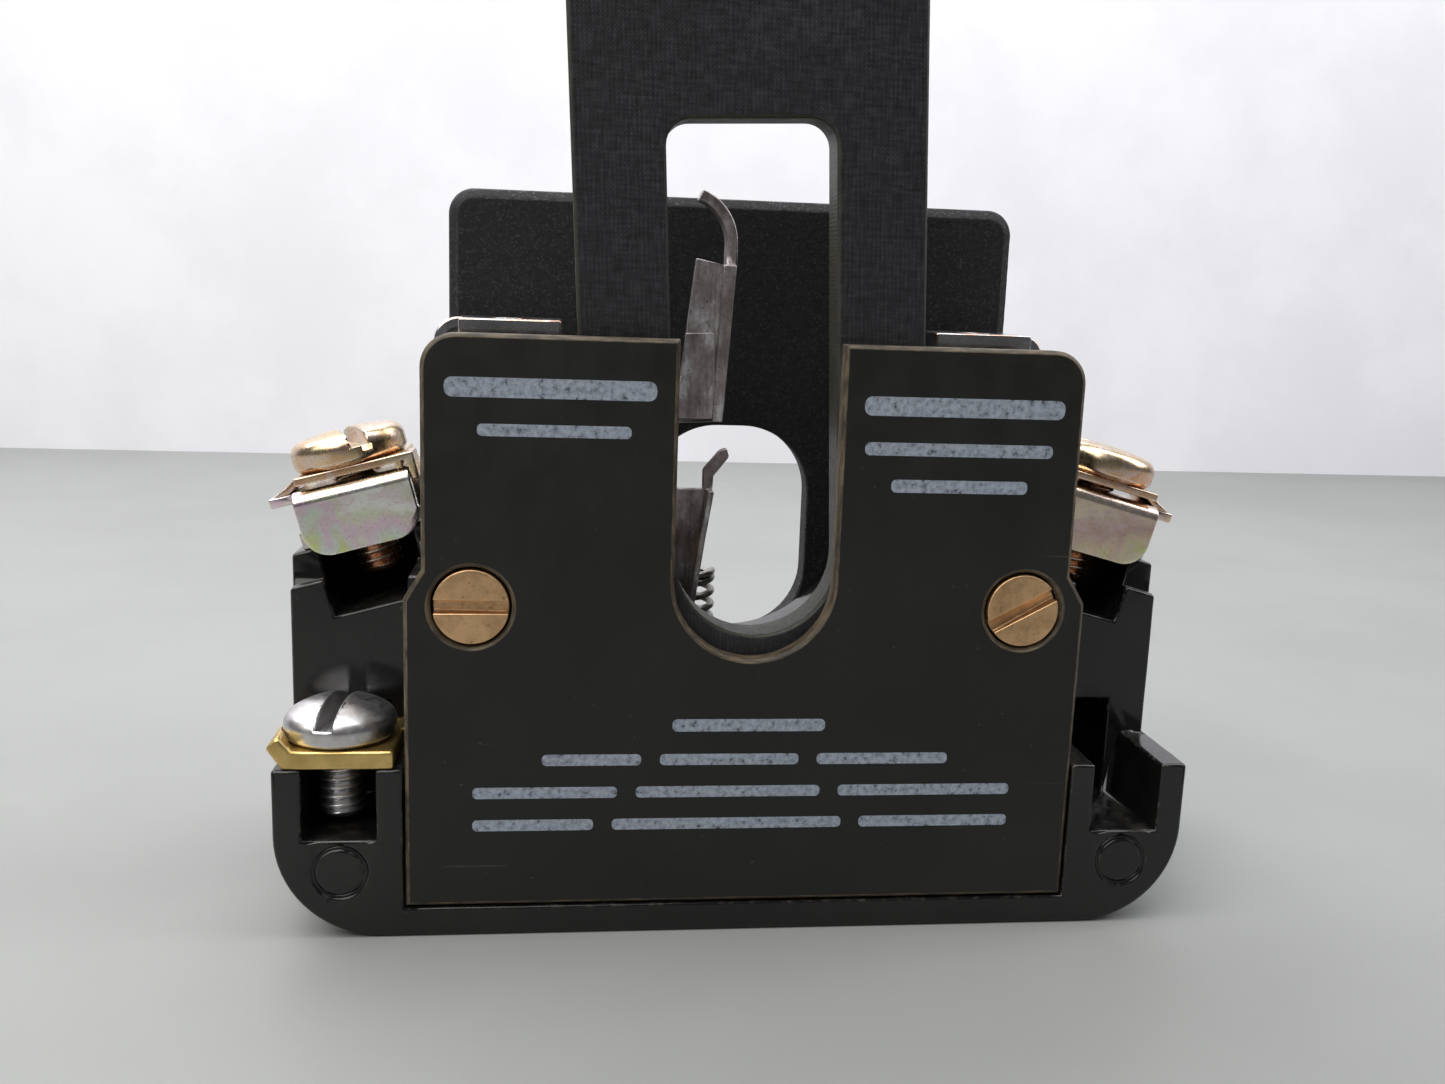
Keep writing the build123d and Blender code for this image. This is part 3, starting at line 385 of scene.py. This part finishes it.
GOLD_FILM = ((0.68, 0.40, 0.24), (0.78, 0.58, 0.34), (0.62, 0.52, 0.32), (0.80, 0.60, 0.42))
# Yoke film tints from bottom to top: the film's own green, pink and yellow, ending in a pale tint at the
# top that is a painted highlight.
YOKE_FILMS_AND_HIGHLIGHTS = {
    "right": ((0.62, 0.68, 0.28), (0.80, 0.68, 0.46), (0.66, 0.46, 0.42), (0.96, 0.80, 0.62)),
    "left": (
        (0.72, 0.78, 0.38), (0.74, 0.82, 0.74), (0.88, 0.66, 0.80), (0.80, 0.86, 0.62), (0.98, 0.97, 0.93)
    ),
}
COVER_BRASS = ((0.80, 0.52, 0.28), (0.48, 0.29, 0.15))
STRAP_BRASS = ((0.72, 0.52, 0.20), (0.50, 0.35, 0.12))
NICKEL = ((0.70, 0.695, 0.71), (0.50, 0.47, 0.44))
SPRING_STEEL = ((0.30, 0.29, 0.27), (0.10, 0.09, 0.08))
SILVER = ((0.88, 0.86, 0.83), (0.52, 0.47, 0.43))

MATERIALS = {
    "phenolic": phenolic(),
    "laminate": laminate_face(),
    "laminate_edge": laminate_edge(),
    "fibre": fibre(),
    "board": rough_board(),
    "cover_brass": metal("cover_brass", *COVER_BRASS, 0.42, (0.08, 1, 1), 0.45, (0.18, 0.105, 0.06), 0.010),
    "brass": metal("strap_brass", *STRAP_BRASS, 0.32, (1, 0.08, 1), 0.45),
    "plated_copper": tinned_copper(),
    "nickel": metal("nickel_plate", *NICKEL, 0.30, (1, 0.10, 1), 0.45, None, 0.006),
    "screw_chromate": chromate("screw_chromate", GOLD_FILM, 0.036, 0.046, 0.26, 2.0),
    "film_right": chromate("chromate_highlit_right", YOKE_FILMS_AND_HIGHLIGHTS["right"], 0.0305, 0.0385),
    "film_left": chromate("chromate_highlit_left", YOKE_FILMS_AND_HIGHLIGHTS["left"], 0.0305, 0.0385),
    "lever_steel": lever_steel(),
    "spring_steel": metal("spring_steel", *SPRING_STEEL, 0.32, None, 0.5),
    "silver": metal("contact_silver", *SILVER, 0.28, None, 0.45),
    "print_ink": print_ink(),
}


# ---------------------------------------------------------------- mesh helpers
def new_piece(name, bm, node=None, body=None, materials=(), smooth_angle=50.0, weighted=True):
    """Make an object of a bmesh, shade it, tie it to its body and hide the CAD node it stands for."""
    mesh = bpy.data.meshes.new(name)
    bm.to_mesh(mesh)
    bm.free()
    piece = bpy.data.objects.new(name, mesh)
    bpy.context.scene.collection.objects.link(piece)
    for material in materials:
        mesh.materials.append(MATERIALS[material])
    mesh.shade_smooth()
    mesh.set_sharp_from_angle(angle=math.radians(smooth_angle))
    if weighted:
        fix = piece.modifiers.new("even_normals", "WEIGHTED_NORMAL")
        fix.keep_sharp = True
        fix.weight = 60
    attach(piece, body or BODY_OF[node])
    if node:
        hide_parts(node)
    return piece


def clean_mesh(node):
    """The CAD node's surface, with even triangles on its flat faces."""
    bm = bmesh.new()
    bm.from_mesh(NODES[node].data)
    bmesh.ops.remove_doubles(bm, verts=bm.verts, dist=1e-6)
    bmesh.ops.dissolve_limit(
        bm, angle_limit=math.radians(0.4), verts=bm.verts, edges=bm.edges, use_dissolve_boundaries=False
    )
    bmesh.ops.triangulate(bm, faces=bm.faces, quad_method="BEAUTY", ngon_method="BEAUTY")
    return bm


def wear_edges(bm, width, step=None, jitter=0.0, angle=32.0, segments=2):
    """Round the sharp outer edges, mark their middle for the materials, and nick them a little."""
    def sharp():
        return [
            e for e in bm.edges
            if len(e.link_faces) == 2 and e.is_convex and e.calc_face_angle() > math.radians(angle)
        ]

    if step:
        groups = {}
        for e in sharp():
            cuts = min(60, int(e.calc_length() / step))
            if cuts > 0:
                groups.setdefault(cuts, []).append(e)
        for cuts, edges in groups.items():
            valid = [e for e in edges if e.is_valid]
            bmesh.ops.subdivide_edges(bm, edges=valid, cuts=cuts, use_grid_fill=False)
    layer = bm.verts.layers.float.new("edge")
    made = bmesh.ops.bevel(
        bm, geom=sharp(), offset=width, segments=segments, profile=0.5, affect="EDGES", clamp_overlap=False
    )
    rim = set(made["faces"])
    for v in made["verts"]:
        if v.is_valid and v.link_faces and all(f in rim for f in v.link_faces):
            v[layer] = 1.0
            if jitter:
                place = v.co * 900.0
                v.co -= v.normal * jitter * max(0.0, noise.noise(place) + 0.55 * noise.noise(place * 3.1))
    return bm


def worn_copy(node, width, materials, step=None, jitter=0.0, **how):
    """The CAD node again, with worn edges and a procedural material."""
    bm = wear_edges(clean_mesh(node), width, step, jitter, **how)
    return new_piece(f"{node}_look", bm, node, materials=materials)


def thread_rows(bm, origin, axis, length, crest, root):
    """Helical thread along an axis, from the origin down to length, with a chamfered tip."""
    axis = Vector(axis).normalized()
    side = axis.orthogonal().normalized()
    other = axis.cross(side)
    steps = 40
    rows_per_pitch = 10
    tip_chamfer = 0.6 * MM
    count = int(length / THREAD_PITCH * rows_per_pitch)
    rows = []
    layer = bm.verts.layers.float.get("edge") or bm.verts.layers.float.new("edge")
    for i in range(count + 1):
        depth = length * i / count
        row = []
        for k in range(steps):
            turn = k / steps
            phase = (depth / THREAD_PITCH - turn) % 1.0
            tooth = (0.5 - 0.5 * math.cos(2 * math.pi * phase)) ** 0.8
            radius = root + (crest - root) * tooth
            radius = min(radius, crest - max(0.0, depth - (length - tip_chamfer)))
            point = Vector(origin) + axis * depth
            point += (side * math.cos(2 * math.pi * turn) + other * math.sin(2 * math.pi * turn)) * radius
            v = bm.verts.new(point)
            v[layer] = 1.0 if tooth > 0.9 else 0.0
            row.append(v)
        rows.append(row)
    for a, b in zip(rows, rows[1:]):
        for k in range(steps):
            bm.faces.new((a[k], a[(k + 1) % steps], b[(k + 1) % steps], b[k]))
    bm.faces.new(rows[0][::-1])
    bm.faces.new(rows[-1])
    bmesh.ops.recalc_face_normals(bm, faces=bm.faces)


def threaded_screw(node, seat, axis, length, material):
    """CAD head with softened edges on a shank that carries a real thread.
    seat is the middle of the head's underside, and axis points from there to the tip."""
    bm = clean_mesh(node)
    axis = Vector(axis).normalized()
    seat = Vector(seat)
    shank = [f for f in bm.faces if all((v.co - seat).dot(axis) > -1e-6 for v in f.verts)
             and any((v.co - seat).dot(axis) > 1e-5 for v in f.verts)]
    bmesh.ops.delete(bm, geom=shank, context="FACES")
    rim = [e for e in bm.edges if e.is_boundary]
    bmesh.ops.holes_fill(bm, edges=rim, sides=0)
    wear_edges(bm, HEAD_EDGE)
    thread = bmesh.new()
    start = seat - axis * THREAD_SUNK
    thread_rows(thread, start, axis, length + THREAD_SUNK, THREAD_CREST, THREAD_CREST - THREAD_DEPTH)
    mesh = bpy.data.meshes.new("thread")
    thread.to_mesh(mesh)
    thread.free()
    bm.from_mesh(mesh)
    bpy.data.meshes.remove(mesh)
    return new_piece(f"{node}_look", bm, node, materials=[material], smooth_angle=38)


def spring(name, centre, radius, wire, height, turns, node):
    """Wire coil with one closed turn at each end, as a swept mesh tube."""
    bm = bmesh.new()
    per_turn, around = 28, 10
    count = int(turns * per_turn)
    centre = Vector(centre)
    closed = 1.0 / turns
    rows = []
    for i in range(count + 1):
        t = i / count
        low = wire
        high = height - wire
        if t < closed:
            rise = low + wire * 1.6 * t / closed
        elif t > 1 - closed:
            rise = high - wire * 1.6 * (1 - t) / closed
        else:
            rise = (low + wire * 1.6) + (high - low - wire * 3.2) * (t - closed) / (1 - 2 * closed)
        turn = 2 * math.pi * turns * t
        out = Vector((math.cos(turn), math.sin(turn), 0))
        middle = centre + out * radius + Vector((0, 0, rise))
        row = []
        for k in range(around):
            a = 2 * math.pi * k / around
            row.append(bm.verts.new(middle + out * wire * math.cos(a) + Vector((0, 0, wire * math.sin(a)))))
        rows.append(row)
    for a, b in zip(rows, rows[1:]):
        for k in range(around):
            bm.faces.new((a[k], b[k], b[(k + 1) % around], a[(k + 1) % around]))
    bm.faces.new(rows[0])
    bm.faces.new(rows[-1][::-1])
    bmesh.ops.recalc_face_normals(bm, faces=bm.faces)
    return new_piece(name, bm, node, materials=["spring_steel"], weighted=False)


# ---------------------------------------------------------------- moulded base
worn_copy("housing", 0.28 * MM, ["phenolic"], step=1.6 * MM, jitter=0.10 * MM)

# ---------------------------------------------------------------- laminate cover with its print
cover = wear_edges(clean_mesh("front_plate"), 0.06 * MM, segments=1)
cover.faces.ensure_lookup_table()
for face in cover.faces:
    face.material_index = 0 if abs(face.normal.y) > 0.97 else 1
new_piece(
    "front_plate_look", cover, "front_plate", materials=["laminate", "laminate_edge"], smooth_angle=35
)


INK_PROUD = 0.010 * MM
INK_SUNK = 0.004 * MM


def ink_bars(name, rows):
    """Blank printed bars, each a rounded strip lying on the cover. Rows hold x0, x1, z0, z1 in mm."""
    bm = bmesh.new()
    for x0, x1, z0, z1 in rows:
        r = (z1 - z0) / 2 * 0.8
        points = []
        corners = (
            (x1 - r, z1 - r, 0),
            (x0 + r, z1 - r, 90),
            (x0 + r, z0 + r, 180),
            (x1 - r, z0 + r, 270),
        )
        for cx, cz, start in corners:
            for k in range(5):
                a = math.radians(start + 22.5 * k)
                points.append(((cx + r * math.cos(a)) * MM, -INK_PROUD, (cz + r * math.sin(a)) * MM))
        front = [bm.verts.new(p) for p in points]
        rear = [bm.verts.new((p[0], INK_SUNK, p[2])) for p in points]
        bm.faces.new(front)
        n = len(points)
        for k in range(n):
            bm.faces.new((front[k], front[(k + 1) % n], rear[(k + 1) % n], rear[k]))
    bmesh.ops.recalc_face_normals(bm, faces=bm.faces)
    piece = new_piece(name, bm, None, "base", ["print_ink"], weighted=False)
    return piece


ink_bars("print_bars", [
    (-25.6, -8.6, 46.3, 47.9), (-23.0, -10.6, 43.2, 44.2),
    (8.6, 25.8, 45.6, 47.2), (8.8, 25.0, 42.3, 43.4), (11.2, 23.0, 39.2, 40.3),
    (-6.6, 6.6, 18.3, 19.4),
    (-17.6, -9.2, 15.3, 16.3), (-7.6, 4.4, 15.3, 16.3), (6.0, 17.6, 15.3, 16.3),
    (-23.4, -11.2, 12.4, 13.4), (-9.6, 6.4, 12.4, 13.4), (8.0, 23.4, 12.4, 13.4),
    (-23.4, -13.2, 9.5, 10.5), (-11.6, 8.4, 9.5, 10.5), (10.0, 23.4, 9.5, 10.5),
])

worn_copy("cover_screws", 0.10 * MM, ["cover_brass"])
worn_copy("cover_inserts", 0.05 * MM, ["brass"])

# ---------------------------------------------------------------- slide and rear board
worn_copy("reset_slide", 0.10 * MM, ["fibre"], step=0.7 * MM, jitter=0.14 * MM, angle=25)
worn_copy("rear_plate", 0.22 * MM, ["board"], step=0.7 * MM, jitter=0.22 * MM, angle=20)
worn_copy("rear_plate_screws", 0.12 * MM, ["nickel"])

# ---------------------------------------------------------------- levers, pin and contacts
for lever in ("trip_lever", "pawl_lever"):
    worn_copy(lever, 0.13 * MM, ["lever_steel"], step=1.5 * MM, jitter=0.03 * MM)
worn_copy("lever_pin", 0.10 * MM, ["nickel"])
worn_copy("cam_pin", 0.10 * MM, ["nickel"])
worn_copy("pin_spacers", 0.06 * MM, ["brass"])
worn_copy("contact_bridge", 0.12 * MM, ["brass"])
worn_copy("moving_contacts", 0.18 * MM, ["silver"])
worn_copy("fixed_contacts", 0.18 * MM, ["silver"])

RESET_SPRINGS = ((-9.7, 10.1), (12.3, 11.2))    # each one's place along X and its height at rest
trip_foot = (-4.4 * MM, 16.8 * MM, 19.5 * MM)
trip_spring = spring("trip_spring_look", trip_foot, 2.55 * MM, 0.35 * MM, 9.75 * MM, 8.0, "trip_spring")
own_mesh(trip_spring)
for index, (x, height) in enumerate(RESET_SPRINGS):
    foot = (x * MM, 3.8 * MM, 3.22 * MM)
    name = f"reset_spring_{index + 1}"
    reset_spring = spring(name, foot, 1.5 * MM, 0.2 * MM, height * MM, 10.0, "reset_springs")
    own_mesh(reset_spring)

# ---------------------------------------------------------------- terminals
for name in ("control_strap_front", "control_strap_rear"):
    worn_copy(name, 0.28 * MM, ["brass"], step=1.2 * MM, jitter=0.04 * MM, segments=3)
CONTROL_SEAT_Z = 16.6
POWER_SEAT = 6.45           # height of the washer's top over the sloping terminal face
DOWN = (0, 0, -1)
threaded_screw("control_screw_front", Vector((-34.9, 4.75, CONTROL_SEAT_Z)) * MM, DOWN, 7.0 * MM, "nickel")
threaded_screw("control_screw_rear", Vector((34.9, 25.25, CONTROL_SEAT_Z)) * MM, DOWN, 7.0 * MM, "nickel")

for side, sign in (("right", 1), ("left", -1)):
    bent = dict(step=1.5 * MM, jitter=0.03 * MM, segments=3)
    worn_copy(f"power_strap_{side}", 0.22 * MM, ["plated_copper"], **bent)
    worn_copy(f"yoke_{side}", 0.16 * MM, [f"film_{side}"], **bent)
    worn_copy(f"saddle_washer_{side}", 0.14 * MM, ["screw_chromate"], step=1.5 * MM, jitter=0.02 * MM)
    up = Vector((sign * math.sin(SLOPE), 0, math.cos(SLOPE)))
    foot = Vector((sign * (39.5 - 6.3 * math.cos(SLOPE)), 14.5, 31.3 + 6.3 * math.sin(SLOPE))) * MM
    seat = foot + up * POWER_SEAT * MM
    threaded_screw(f"power_screw_{side}", seat, -up, 10.15 * MM, "screw_chromate")

worn_copy("mounting_inserts", 0.10 * MM, ["brass"])

# ---------------------------------------------------------------- floor, backdrop, light and camera
def stage_material(name, colour, roughness):
    s = Shade(name, roughness=roughness)
    cloud = s.noise(60, 5, 0.6)
    grit = s.noise(1.5, 4, 0.6)
    darker = tuple(c * 0.93 for c in colour)
    s.colour(s.mix(s.span(cloud, 0.35, 0.65), colour, darker))
    s.bump(grit, 0.02, 0.3)
    return s.mat


def stage_plane(name, corners, material):
    mesh = bpy.data.meshes.new(name)
    mesh.from_pydata(corners, [], [tuple(range(len(corners)))])
    plane = bpy.data.objects.new(name, mesh)
    bpy.context.scene.collection.objects.link(plane)
    mesh.materials.append(material)


stage_plane(
    "floor",
    [(-1.5, -1.5, 0), (1.5, -1.5, 0), (1.5, 0.335, 0), (-1.5, 0.335, 0)],
    stage_material("floor_pale", (0.290, 0.295, 0.285), 0.60),
)
stage_plane(
    "backdrop",
    [(-1.5, 0.335, -0.02), (1.5, 0.335, -0.02), (1.5, 0.335, 1.2), (-1.5, 0.335, 1.2)],
    stage_material("backdrop_pale", (0.86, 0.85, 0.88), 0.8),
)


def area_light(name, place, aim, size, watts, colour):
    data = bpy.data.lights.new(name, "AREA")
    data.shape = "RECTANGLE"
    data.size, data.size_y = size
    data.energy = watts
    data.color = colour
    lamp = bpy.data.objects.new(name, data)
    bpy.context.scene.collection.objects.link(lamp)
    lamp.location = place
    lamp.rotation_euler = (Vector(aim) - Vector(place)).to_track_quat("-Z", "Y").to_euler()


area_light("key", (-0.26, -0.18, 0.44), (0, 0.01, 0.03), (0.55, 0.50), 2.5, (1.0, 0.98, 0.95))
area_light("back_wash", (0.10, 0.02, 0.50), (0.05, 0.335, 0.10), (0.60, 0.25), 2.0, (0.97, 0.98, 1.0))
area_light("rim", (-0.10, 0.29, 0.36), (0, 0.01, 0.03), (0.80, 0.20), 2.2, (0.97, 0.98, 1.0))
area_light("side", (0.42, 0.02, 0.30), (0, 0.02, 0.03), (0.30, 0.30), 0.8, (0.95, 0.97, 1.0))

world = bpy.data.worlds.new("studio")
world.use_nodes = True
world.node_tree.nodes["Background"].inputs["Color"].default_value = (0.86, 0.90, 1.0, 1.0)
world.node_tree.nodes["Background"].inputs["Strength"].default_value = 0.10
bpy.context.scene.world = world
bpy.context.scene.view_settings.view_transform = "Standard"

camera_data = bpy.data.cameras.new("camera")
camera_data.lens = 32.39
camera_data.sensor_width = 36.0
camera_data.clip_start = 0.005
camera = bpy.data.objects.new("camera", camera_data)
bpy.context.scene.collection.objects.link(camera)
camera.location = (-0.015504, -0.105631, 0.05456)
camera.rotation_euler = (1.386994, -0.034106, -0.112761)
bpy.context.scene.camera = camera
